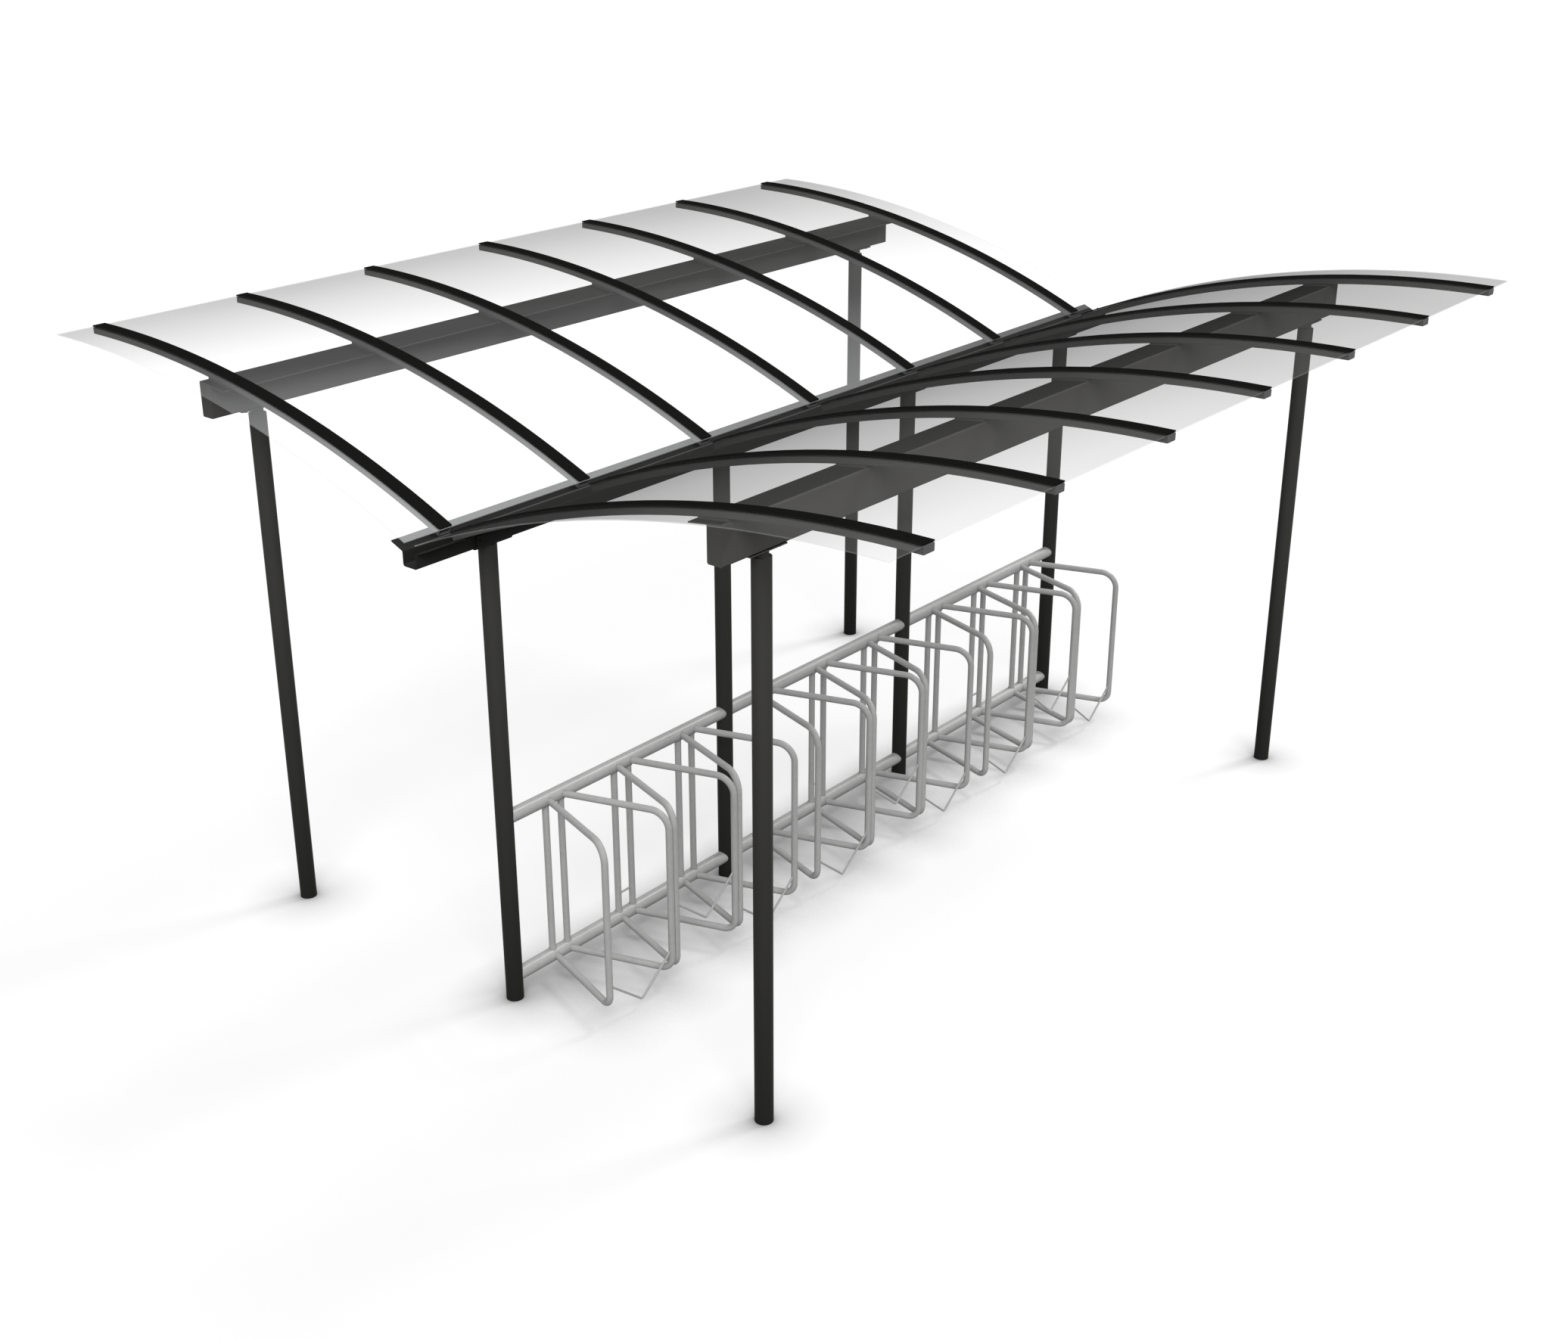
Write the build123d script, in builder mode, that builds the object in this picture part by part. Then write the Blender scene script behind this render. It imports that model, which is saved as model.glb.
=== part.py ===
from build123d import *
from math import asin, atan2, cos, hypot, radians, sin, sqrt, tan
import os

# Bike shelter: two curved roof wings that drain into a valley gutter along the middle row of posts,
# with a rack of wheel places hung between those posts.
# Millimetres. X runs along the valley, Y across it towards the left wing, Z up.
# The origin is on the ground under the centre of the shelter.

# Posts
bay_count = 3
post_spacing = 1400.0            # centres of neighbouring valley posts
post_row_offset = 1398.0         # valley line to each outer row of posts
post_diameter = 76.1
post_wall = 3.6
post_end_thickness = 6.0         # closing disc or ring at a post's end
neck_diameter = 54.0             # thinner tube between an outer post and its saddle
neck_wall = 3.0
neck_show = 25.0                 # neck that shows above the post
neck_insert = 120.0              # neck that sits down inside the post

# Roof arc: underside of the ribs, seen along X
roof_radius = 5394.0
roof_apex_offset = 2196.0        # valley line to the highest line of a wing
roof_apex_height = 2606.0
roof_reach = 2227.0              # valley line to the ribs' outer ends
roof_valley_gap = 28.0           # valley line to the ribs' lower ends

# Ribs, sheets and the strips that clamp the sheets on the ribs
rib_count = 7
rib_end_offset = 180.0           # end posts to the centre of the first and last rib
rib_width = 60.0
rib_height = 28.0
rib_wall = 3.0
rib_corner = 3.0
sheet_thickness = 4.0
seal_thickness = 0.5             # rubber seal above and below the sheet
sheet_overhang = 210.0           # centre of the end rib to the sheet's end
sheet_edge_setback = 1.0         # ribs' outer ends to the sheet's outer edge
sheet_valley_gap = 30.0
strip_thickness = 5.0

# Valley gutter, a folded channel with a sloped flange under each wing
gutter_thickness = 5.0
gutter_width = 78.0              # across the outer faces of its walls
gutter_depth = 63.5              # from the fold between wall and flange down to the floor's underside
gutter_flange_reach = 99.5       # valley line to the flange's tip
gutter_bend = 8.0
gutter_overhang = 4.0            # sheets' ends to the gutter's ends

# Eaves beams, closed boxes with a flange towards the valley
beam_width = 70.0
beam_depth = 155.0               # height of the outer face
beam_wall = 5.0
beam_corner = 8.0
beam_flange_reach = 119.0        # beam's middle to the flange's tip
beam_top_tilt = 7.7              # degrees, falling towards the valley
beam_overhang = 65.0             # centre of the end rib to the beam's end

# Packers that fill the thin wedge between the beams and each rib
packer_height = 7.6              # gap at the flange's tip
packer_width = 50.0
packer_setback = 10.0            # packer's ends to the flange's tip and to the beam's outer face

# Saddles that join the posts to the gutter and the beams
saddle_thickness = 6.0
beam_saddle_length = 200.0
gutter_saddle_length = 188.0
gutter_saddle_gap = 8.0          # its top edge below the gutter's fold

# Rack
rail_diameter = 62.0
rail_wall = 3.2
top_rail_height = 865.0
bottom_rail_height = 105.0
places_per_bay = 3
place_pitch = 420.0
place_tube_diameter = 30.0
place_tube_wall = 2.6
tyre_slot_width = 61.0           # clear width between the two upright bars
hoop_reach = 489.0               # rails to the hoops' outer legs
hoop_neighbour_gap = 2.0         # between the outer legs of neighbouring places
hoop_top_bend = 85.0
hoop_bottom_bend = 55.0
cradle_diameter = 10.0           # bent rod that the wheel drops into
cradle_bend = 14.0
cradle_drop = 157.0
low_cradle_height = 50.0         # lowest point of the rod
high_cradle_height = 258.0       # the same in the middle place of a bay
tie_height = 220.0               # short rod between the bars of the middle place

# Sizes worked out from those
post_radius = post_diameter / 2
rail_radius = rail_diameter / 2
tube_radius = place_tube_diameter / 2
frame_length = bay_count * post_spacing
valley_post_x = [post_spacing * i - frame_length / 2 for i in range(bay_count + 1)]
end_post_x = [valley_post_x[0], valley_post_x[-1]]
rib_span = frame_length + 2 * rib_end_offset
rib_x = [rib_span * i / (rib_count - 1) - rib_span / 2 for i in range(rib_count)]
beam_length = rib_span + 2 * beam_overhang
sheet_length = rib_span + 2 * sheet_overhang
gutter_length = sheet_length + 2 * gutter_overhang
roof_centre_height = roof_apex_height - roof_radius
slot_height = sheet_thickness + 2 * seal_thickness
strip_base = rib_height + slot_height
roof_top = strip_base + strip_thickness


def underside(y):
    # height of the ribs' underside at distance y from the valley line
    return roof_centre_height + sqrt(roof_radius**2 - (y - roof_apex_offset) ** 2)


def roof_angle(y, rise):
    # angle from the apex line to distance y, on the arc that lies rise above the underside
    return asin((y - roof_apex_offset) / (roof_radius + rise))


def roof_point(side, rise, angle):
    radius = roof_radius + rise
    return (side * (roof_apex_offset + radius * sin(angle)), roof_centre_height + radius * cos(angle))


def roof_band(side, low, high, start, end):
    # outline between two concentric roof arcs
    middle = (start + end) / 2
    with BuildLine() as outline:
        ThreePointArc(*[roof_point(side, low, a) for a in (start, middle, end)])
        Line(roof_point(side, low, end), roof_point(side, high, end))
        ThreePointArc(*[roof_point(side, high, a) for a in (end, middle, start)])
        Line(roof_point(side, high, start), roof_point(side, low, start))
    return outline.edges()


def save(builder, name):
    builder.part.label = name
    export_step(builder.part, f"parts/{name}.step")


os.makedirs("parts", exist_ok=True)
sides = {"left": 1, "right": -1}

rib_start = roof_angle(roof_valley_gap, roof_top)
rib_end = roof_angle(roof_reach, roof_top)
rib_cap_angle = rib_wall / roof_radius
sheet_start = roof_angle(sheet_valley_gap, rib_height)
sheet_end = roof_angle(roof_reach - sheet_edge_setback, rib_height)

# Ribs: curved box tubes, open over the gutter and capped at their outer ends
for wing, side in sides.items():
    for number, x in enumerate(rib_x, 1):
        with BuildPart() as rib:
            with BuildSketch(Plane.YZ.offset(x - rib_width / 2)):
                make_face(roof_band(side, 0, rib_height, rib_start, rib_end))
            extrude(amount=rib_width)
            fillet(rib.edges().filter_by(GeomType.CIRCLE), radius=rib_corner)
            bore_start = rib_start - rib_cap_angle
            bore_end = rib_end - rib_cap_angle
            with BuildSketch(Plane.YZ.offset(x - rib_width / 2 + rib_wall)):
                make_face(roof_band(side, rib_wall, rib_height - rib_wall, bore_start, bore_end))
            extrude(amount=rib_width - 2 * rib_wall, mode=Mode.SUBTRACT)
        save(rib, f"rib_{wing}_{number}")

# Roof sheets: one bent sheet a wing, lying on all its ribs
for wing, side in sides.items():
    with BuildPart() as roof_sheet:
        with BuildSketch(Plane.YZ.offset(-sheet_length / 2)):
            low = rib_height + seal_thickness
            make_face(roof_band(side, low, low + sheet_thickness, sheet_start, sheet_end))
        extrude(amount=sheet_length)
    save(roof_sheet, f"roof_sheet_{wing}")

# Clamp strips: flat bars on top of the sheet, one over each rib
for wing, side in sides.items():
    with BuildPart() as clamp_strips:
        for x in rib_x:
            with BuildSketch(Plane.YZ.offset(x - rib_width / 2)):
                make_face(roof_band(side, strip_base, roof_top, rib_start, rib_end))
            extrude(amount=rib_width)
    save(clamp_strips, f"clamp_strips_{wing}")

# Valley gutter
wall_middle = (gutter_width - gutter_thickness) / 2
fold_height = underside(wall_middle)
tip_height = underside(gutter_flange_reach)
flange_slope = atan2(tip_height - fold_height, gutter_flange_reach - wall_middle)
flange_drop = gutter_thickness / 2 / cos(flange_slope)
gutter_bottom = fold_height - gutter_depth
gutter_half = [
    (wall_middle, gutter_bottom + gutter_thickness / 2),
    (wall_middle, fold_height - flange_drop),
    (gutter_flange_reach, tip_height - flange_drop),
]
with BuildPart() as valley_gutter:
    with BuildSketch(Plane.YZ.offset(-gutter_length / 2)):
        with BuildLine():
            FilletPolyline(*[(-y, z) for y, z in reversed(gutter_half)], *gutter_half, radius=gutter_bend)
        trace(line_width=gutter_thickness)
    extrude(amount=gutter_length)
save(valley_gutter, "valley_gutter")

# Gutter saddles: folded plates under the gutter, one on each valley post
saddle_half = (gutter_width + saddle_thickness) / 2
saddle_floor = gutter_bottom - saddle_thickness / 2
saddle_rim = fold_height - flange_drop - gutter_saddle_gap
with BuildPart() as gutter_saddles:
    for x in valley_post_x:
        with BuildSketch(Plane.YZ.offset(x - gutter_saddle_length / 2)):
            with BuildLine():
                FilletPolyline(
                    (-saddle_half, saddle_rim),
                    (-saddle_half, saddle_floor),
                    (saddle_half, saddle_floor),
                    (saddle_half, saddle_rim),
                    radius=gutter_bend + (gutter_thickness + saddle_thickness) / 2,
                )
            trace(line_width=saddle_thickness)
        extrude(amount=gutter_saddle_length)
save(gutter_saddles, "gutter_saddles")

# Eaves beams and the plates that close their ends
beam_outer = post_row_offset + beam_width / 2
beam_inner = post_row_offset - beam_width / 2
beam_tip = post_row_offset - beam_flange_reach
beam_tip_height = underside(beam_tip) - packer_height


def beam_top(y):
    # height of the beam's flat, tilted top
    return beam_tip_height + (y - beam_tip) * tan(radians(beam_top_tilt))


beam_bottom = beam_top(beam_outer) - beam_depth


def beam_bore(side):
    # outline of the hollow inside the box
    inner = beam_inner + beam_wall
    outer = beam_outer - beam_wall
    floor = beam_bottom + beam_wall
    with BuildLine() as outline:
        Polyline(
            (side * inner, floor),
            (side * outer, floor),
            (side * outer, beam_top(outer) - beam_wall),
            (side * inner, beam_top(inner) - beam_wall),
            close=True,
        )
    return outline.edges()


for wing, side in sides.items():
    with BuildPart() as eaves_beam:
        with BuildSketch(Plane.YZ.offset(-beam_length / 2)) as section:
            with BuildLine():
                Polyline(
                    (side * beam_outer, beam_bottom),
                    (side * beam_outer, beam_top(beam_outer)),
                    (side * beam_tip, beam_top(beam_tip)),
                    (side * beam_tip, beam_top(beam_tip) - beam_wall),
                    (side * beam_inner, beam_top(beam_inner) - beam_wall),
                    (side * beam_inner, beam_bottom),
                    close=True,
                )
            make_face()
            corners = section.vertices().group_by(Axis.Y)
            fillet(corners[0] + corners[-1], radius=beam_corner)
            make_face(beam_bore(side), mode=Mode.SUBTRACT)
        extrude(amount=beam_length)
    save(eaves_beam, f"eaves_beam_{wing}")

with BuildPart() as beam_end_caps:
    for side in sides.values():
        for x in (-beam_length / 2, beam_length / 2 - beam_wall):
            with BuildSketch(Plane.YZ.offset(x)):
                make_face(beam_bore(side))
            extrude(amount=beam_wall)
save(beam_end_caps, "eaves_beam_end_caps")

# Rib packers: flat on the beam, curved under the rib
packer_start = roof_angle(beam_tip + packer_setback, 0)
packer_end = roof_angle(beam_outer - packer_setback, 0)
with BuildPart() as rib_packers:
    for side in sides.values():
        for x in rib_x:
            with BuildSketch(Plane.YZ.offset(x - packer_width / 2)):
                make_face(roof_band(side, -3 * packer_height, 0, packer_start, packer_end))
                with BuildLine():
                    Polyline(
                        (side * beam_tip, beam_top(beam_tip)),
                        (side * beam_outer, beam_top(beam_outer)),
                        (side * beam_outer, beam_bottom),
                        (side * beam_tip, beam_bottom),
                        close=True,
                    )
                make_face(mode=Mode.SUBTRACT)
            extrude(amount=packer_width)
save(rib_packers, "rib_packers")

# Beam saddles: flat plates under the beams, one on each outer post
with BuildPart() as beam_saddles:
    with BuildSketch(Plane.XY.offset(beam_bottom - saddle_thickness)):
        with Locations(*[(x, side * post_row_offset) for x in end_post_x for side in sides.values()]):
            Rectangle(beam_saddle_length, beam_width)
    extrude(amount=saddle_thickness)
save(beam_saddles, "beam_saddles")

# Posts: tubes closed at the foot; the outer ones have a ring that holds a thinner neck
valley_post_top = gutter_bottom - saddle_thickness
neck_top = beam_bottom - saddle_thickness
outer_post_top = neck_top - neck_show

for number, x in enumerate(valley_post_x, 1):
    with BuildPart() as post:
        with BuildSketch():
            with Locations((x, 0)):
                Circle(post_radius)
        extrude(amount=valley_post_top)
        with BuildSketch(Plane.XY.offset(post_end_thickness)):
            with Locations((x, 0)):
                Circle(post_radius - post_wall)
        extrude(amount=valley_post_top, mode=Mode.SUBTRACT)
    save(post, f"valley_post_{number}")

for wing, side in sides.items():
    for number, x in enumerate(end_post_x, 1):
        with BuildPart() as post:
            with BuildSketch():
                with Locations((x, side * post_row_offset)):
                    Circle(post_radius)
            extrude(amount=outer_post_top)
            with BuildSketch(Plane.XY.offset(post_end_thickness)):
                with Locations((x, side * post_row_offset)):
                    Circle(post_radius - post_wall)
            extrude(amount=outer_post_top - 2 * post_end_thickness, mode=Mode.SUBTRACT)
            with BuildSketch(Plane.XY.offset(outer_post_top - 2 * post_end_thickness)):
                with Locations((x, side * post_row_offset)):
                    Circle(neck_diameter / 2)
            extrude(amount=3 * post_end_thickness, mode=Mode.SUBTRACT)
        save(post, f"outer_post_{wing}_{number}")

with BuildPart() as post_necks:
    with BuildSketch(Plane.XY.offset(outer_post_top - neck_insert)):
        with Locations(*[(x, side * post_row_offset) for x in end_post_x for side in sides.values()]):
            Circle(neck_diameter / 2)
            Circle(neck_diameter / 2 - neck_wall, mode=Mode.SUBTRACT)
    extrude(amount=neck_insert + neck_show)
save(post_necks, "post_necks")

# Rack rails: tubes between the valley posts, shaped to the posts' round faces
for name, height in (("top_rails", top_rail_height), ("bottom_rails", bottom_rail_height)):
    with BuildPart() as rails:
        with BuildSketch(Plane.YZ.offset(-frame_length / 2)):
            with Locations((0, height)):
                Circle(rail_radius)
                Circle(rail_radius - rail_wall, mode=Mode.SUBTRACT)
        extrude(amount=frame_length)
        with BuildSketch(Plane.XY.offset(height - rail_diameter)):
            with Locations(*[(x, 0) for x in valley_post_x]):
                Circle(post_radius)
        extrude(amount=2 * rail_diameter, mode=Mode.SUBTRACT)
    save(rails, f"rack_{name}")

# Wheel places: two upright bars between the rails, two hoops that open like a V, and the cradle rod
bar_offset = tyre_slot_width / 2 + tube_radius
leg_offset = place_pitch / 2 - tube_radius - hoop_neighbour_gap / 2
hoop_length = hypot(leg_offset - bar_offset, hoop_reach - rail_radius)
hoop_root = rail_radius / 2          # how far the hoops start inside the rails' faces
bar_bore = tube_radius - place_tube_wall
middle_place = places_per_bay // 2


def hoop_path(x, hand):
    # centre line of one hoop, in the upright plane that it lies in
    plane = Plane(
        origin=(x + hand * bar_offset, -rail_radius, 0),
        x_dir=(hand * (leg_offset - bar_offset), rail_radius - hoop_reach, 0),
        z_dir=(rail_radius - hoop_reach, -hand * (leg_offset - bar_offset), 0),
    )
    with BuildLine(plane) as path:
        FilletPolyline(
            (-hoop_root, top_rail_height),
            (hoop_length, top_rail_height),
            (hoop_length, bottom_rail_height),
            (-hoop_root, bottom_rail_height),
            radius=[hoop_top_bend, hoop_bottom_bend],
        )
    return path.wire()


place_number = 0
for bay in range(bay_count):
    for slot in range(places_per_bay):
        place_number += 1
        bay_middle = (valley_post_x[bay] + valley_post_x[bay + 1]) / 2
        x = bay_middle + (slot - (places_per_bay - 1) / 2) * place_pitch
        is_high = slot == middle_place
        cradle_height = high_cradle_height if is_high else low_cradle_height
        hoops = [hoop_path(x, hand) for hand in (-1, 1)]
        with BuildPart() as place:
            for path in hoops:
                with BuildSketch(Plane(origin=path @ 0, z_dir=path % 0)):
                    Circle(tube_radius)
                sweep(path=path)
            with BuildLine(Plane.XZ.offset(hoop_reach)) as cradle:
                FilletPolyline(
                    (x - leg_offset, cradle_height + cradle_drop),
                    (x, cradle_height),
                    (x + leg_offset, cradle_height + cradle_drop),
                    radius=cradle_bend,
                )
            with BuildSketch(Plane(origin=cradle.wire() @ 0, z_dir=cradle.wire() % 0)):
                Circle(cradle_diameter / 2)
            sweep(path=cradle.wire())
            for path in hoops:
                with BuildSketch(Plane(origin=path @ 0, z_dir=path % 0)):
                    Circle(bar_bore)
                sweep(path=path, mode=Mode.SUBTRACT)
            with BuildSketch(Plane.XY.offset(bottom_rail_height)):
                with Locations((x - bar_offset, 0), (x + bar_offset, 0)):
                    Circle(tube_radius)
            extrude(amount=top_rail_height - bottom_rail_height)
            if is_high:
                with BuildSketch(Plane.YZ.offset(x - bar_offset)):
                    with Locations((0, tie_height)):
                        Circle(cradle_diameter / 2)
                extrude(amount=2 * bar_offset)
            with BuildSketch(Plane.XY.offset(bottom_rail_height)):
                with Locations((x - bar_offset, 0), (x + bar_offset, 0)):
                    Circle(bar_bore)
            extrude(amount=top_rail_height - bottom_rail_height, mode=Mode.SUBTRACT)
            with BuildSketch(Plane.YZ.offset(x - place_pitch)):
                with Locations((0, top_rail_height), (0, bottom_rail_height)):
                    Circle(rail_radius)
            extrude(amount=2 * place_pitch, mode=Mode.SUBTRACT)
        save(place, f"wheel_place_{place_number}")
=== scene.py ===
import math

import bmesh
import bpy
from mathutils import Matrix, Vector


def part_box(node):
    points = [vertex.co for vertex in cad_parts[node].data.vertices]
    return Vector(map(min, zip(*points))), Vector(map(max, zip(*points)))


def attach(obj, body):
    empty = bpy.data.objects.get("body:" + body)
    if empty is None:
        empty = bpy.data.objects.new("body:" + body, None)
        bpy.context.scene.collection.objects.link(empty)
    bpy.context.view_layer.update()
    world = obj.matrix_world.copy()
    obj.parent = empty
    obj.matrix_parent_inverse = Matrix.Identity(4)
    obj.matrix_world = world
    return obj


# Bike shelter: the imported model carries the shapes. This script adds seals, screws, bolts and welds,
# gives every surface its finish, and sets up the camera and the light. Metres throughout.
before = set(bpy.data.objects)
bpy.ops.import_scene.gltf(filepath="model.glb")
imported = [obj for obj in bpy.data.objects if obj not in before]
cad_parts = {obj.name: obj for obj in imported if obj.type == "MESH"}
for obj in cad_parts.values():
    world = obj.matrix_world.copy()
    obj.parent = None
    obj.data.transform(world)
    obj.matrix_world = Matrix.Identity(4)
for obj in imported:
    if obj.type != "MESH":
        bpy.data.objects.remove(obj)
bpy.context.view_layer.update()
print("frame loaded:", len(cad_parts), "nodes")

# the roof arc and the rack, with the same sizes as the part
roof = {
    "radius": 5.394,        # underside of the ribs
    "apexOffset": 2.196,    # valley line to the highest line of a wing
    "apexHeight": 2.606,
    "ribCount": 7,
    "ribSpan": 4.56,        # first rib to last rib
    "ribWidth": 0.060,
    "sheetBottom": 0.0285,  # this and the next two: above the ribs' underside
    "sheetTop": 0.0325,
    "stripTop": 0.038,
}
rack = {
    "bayCount": 3,
    "bayPitch": 1.4,
    "placePitch": 0.42,
    "topRail": 0.865,
    "bottomRail": 0.105,
    "railRadius": 0.031,
    "tubeRadius": 0.015,
    "barOffset": 0.0455,    # upright bars, to each side of a place's middle
    "legOffset": 0.194,     # outer legs of the hoops, the same way
    "hoopReach": 0.489,
    "rodRadius": 0.005,
    "lowRodEnd": 0.207,     # heights where the cradle rods meet the outer legs
    "highRodEnd": 0.415,
    "tieHeight": 0.220,
}
roofCentre = roof["apexHeight"] - roof["radius"]


def roofAngle(y, rise):
    return math.asin((abs(y) - roof["apexOffset"]) / (roof["radius"] + rise))


def roofHeight(y, rise=0.0):
    return roofCentre + (roof["radius"] + rise) * math.cos(roofAngle(y, rise))


def setInputs(tree, node, values):
    # a socket is linked, anything else becomes the input's own value
    for key, value in values.items():
        if isinstance(value, bpy.types.NodeSocket):
            tree.links.new(value, node.inputs[key])
        else:
            node.inputs[key].default_value = value


def addNode(tree, kind, values=None, **settings):
    node = tree.nodes.new(kind)
    for key, value in settings.items():
        setattr(node, key, value)
    setInputs(tree, node, values or {})
    return node


def mathNode(tree, operation, *values):
    return addNode(tree, "ShaderNodeMath", dict(enumerate(values)), operation=operation).outputs[0]


def vectorMath(tree, operation, values):
    return addNode(tree, "ShaderNodeVectorMath", values, operation=operation).outputs


def axesOf(tree, vector):
    return addNode(tree, "ShaderNodeSeparateXYZ", {"Vector": vector}).outputs


def vectorOf(tree, **axes):
    return addNode(tree, "ShaderNodeCombineXYZ", axes).outputs[0]


def rangeNode(tree, value, low, high, start=0.0, end=1.0):
    # low where the value is at start, high where it is at end
    return addNode(tree, "ShaderNodeMapRange", {
        "Value": value, "From Min": start, "From Max": end, "To Min": low, "To Max": high}).outputs["Result"]


def noise(tree, place, pattern):
    scale, detail, roughness = pattern
    return addNode(tree, "ShaderNodeTexNoise", {
        "Vector": place, "Scale": scale, "Detail": detail, "Roughness": roughness}).outputs


def blend(tree, first, second, share):
    # share is the part of the second
    return mathNode(tree, "ADD", mathNode(tree, "MULTIPLY", first, 1.0 - share),
                    mathNode(tree, "MULTIPLY", second, share))


def mixColour(tree, factor, first, second):
    # inputs 6 and 7 are the node's two colours
    ends = [end if isinstance(end, bpy.types.NodeSocket) else (*end, 1) for end in (first, second)]
    mix = addNode(tree, "ShaderNodeMix", {"Factor": factor, 6: ends[0], 7: ends[1]}, data_type="RGBA")
    return mix.outputs[2]


def bump(tree, height, strength, depth):
    return addNode(tree, "ShaderNodeBump", {
        "Strength": strength, "Distance": depth, "Height": height}).outputs["Normal"]


def newMaterial(name):
    material = bpy.data.materials.new(name)
    material.use_nodes = True
    tree = material.node_tree
    shader = tree.nodes["Principled BSDF"]
    place = addNode(tree, "ShaderNodeTexCoord").outputs["Object"]
    return material, tree, shader, place


def powderCoat(name, dark, light, look):
    # painted steel: slow change of tone, fine orange peel, and a painted shade that darkens it towards the
    # ground
    material, tree, shader, place = newMaterial(name)
    cloud = noise(tree, place, look["cloud"])["Fac"]
    grain = noise(tree, place, look["grain"])["Fac"]
    paint = mixColour(tree, blend(tree, cloud, grain, look["grainShare"]), dark, light)
    # painted shade: the tone falls towards the ground
    paintedShadeFactor = rangeNode(tree, axesOf(tree, place)[2], look["footShade"], 1.0, 0.0, look["unshadedAbove"])
    if look["topShade"]:
        # painted shade: faces that look up are darkened, most of all where they lean away from the rack's
        # side
        normal = addNode(tree, "ShaderNodeNewGeometry").outputs["True Normal"]
        upward = vectorMath(tree, "DOT_PRODUCT", {0: normal, 1: (0.0, look["topShadeLean"], 1.0)})["Value"]
        topShadeFactor = rangeNode(tree, upward, 1.0, 1.0 - look["topShade"], look["topShadeFrom"], look["topShadeTo"])
        paintedShadeFactor = mathNode(tree, "MULTIPLY", paintedShadeFactor, topShadeFactor)
    setInputs(tree, shader, {
        "Base Color": vectorMath(tree, "SCALE", {0: paint, "Scale": paintedShadeFactor})[0],
        "Roughness": rangeNode(tree, cloud, look["smooth"], look["rough"]),
        "Normal": bump(tree, grain, look["peel"], look["peelDepth"]),
        "Specular IOR Level": look["gloss"],
    })
    return material


def galvanisedSteel(name, dark, light, look):
    # hot-dip zinc: small crystals, slightly different in tone and shine
    material, tree, shader, place = newMaterial(name)
    warp = noise(tree, place, look["warp"])["Color"]
    shift = vectorMath(tree, "MULTIPLY", {0: warp, 1: (look["warpSize"],) * 3})[0]
    moved = vectorMath(tree, "ADD", {0: place, 1: shift})[0]
    crystals = addNode(tree, "ShaderNodeTexVoronoi", {"Vector": moved, "Scale": look["crystalScale"]})
    crystal = addNode(tree, "ShaderNodeSeparateColor", {"Color": crystals.outputs["Color"]}).outputs[0]
    cloud = noise(tree, place, look["cloud"])["Fac"]
    pits = noise(tree, place, look["pits"])["Fac"]
    setInputs(tree, shader, {
        "Base Color": mixColour(tree, blend(tree, cloud, crystal, look["crystalShare"]), dark, light),
        "Roughness": rangeNode(tree, crystal, look["smooth"], look["rough"]),
        "Normal": bump(tree, pits, look["pitStrength"], look["pitDepth"]),
        "Metallic": look["metal"],
        "Specular IOR Level": look["gloss"],
    })
    return material


def clearSheet(name, look):
    # clear plastic with a painted reflection: a white painted sheen where it is seen steeply, next to nothing
    # at a middling angle, and a grey veil that grows denser towards a glancing look
    material, tree, shader, place = newMaterial(name)
    axes = axesOf(tree, place)
    # a light grey, denser band along the sheet's ends and eaves edge: milky cut edges, partly a painted
    # highlight
    toEnd = mathNode(tree, "SUBTRACT", look["halfLength"], mathNode(tree, "ABSOLUTE", axes[0]))
    toEaves = mathNode(tree, "SUBTRACT", look["outerEdge"], mathNode(tree, "ABSOLUTE", axes[1]))
    onEdge = mathNode(tree, "LESS_THAN", mathNode(tree, "MINIMUM", toEnd, toEaves), look["edgeBand"])
    # painted reflection: the colour and cover follow how steeply the sheet is seen
    glance = addNode(tree, "ShaderNodeLayerWeight", {"Blend": 0.5}).outputs["Facing"]
    veil = addNode(tree, "ShaderNodeValToRGB", {"Fac": glance})
    stops = veil.color_ramp.elements
    for extra in range(len(look["veil"]) - len(stops)):
        stops.new(1.0)
    for stop, (position, colour, cover) in zip(stops, look["veil"]):
        stop.position = position
        stop.color = (*colour, cover)
    cloud = noise(tree, place, look["cloud"])["Fac"]
    uneven = rangeNode(tree, cloud, 1.0 - look["uneven"], 1.0 + look["uneven"])
    faceCover = mathNode(tree, "MULTIPLY", veil.outputs["Alpha"], uneven)
    edgeCover = mathNode(tree, "MULTIPLY", onEdge, look["edgeCover"])
    setInputs(tree, shader, {
        "Base Color": mixColour(tree, onEdge, veil.outputs["Color"], look["edgeColour"]),
        "Alpha": mathNode(tree, "MAXIMUM", faceCover, edgeCover),
        "Roughness": look["rough"],
        "Specular IOR Level": look["gloss"],
    })
    return material


def rubber(name, dark, light, look):
    material, tree, shader, place = newMaterial(name)
    grain = noise(tree, place, look["grain"])["Fac"]
    setInputs(tree, shader, {
        "Base Color": mixColour(tree, grain, dark, light),
        "Roughness": rangeNode(tree, grain, look["smooth"], look["rough"]),
        "Specular IOR Level": look["gloss"],
    })
    return material


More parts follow.
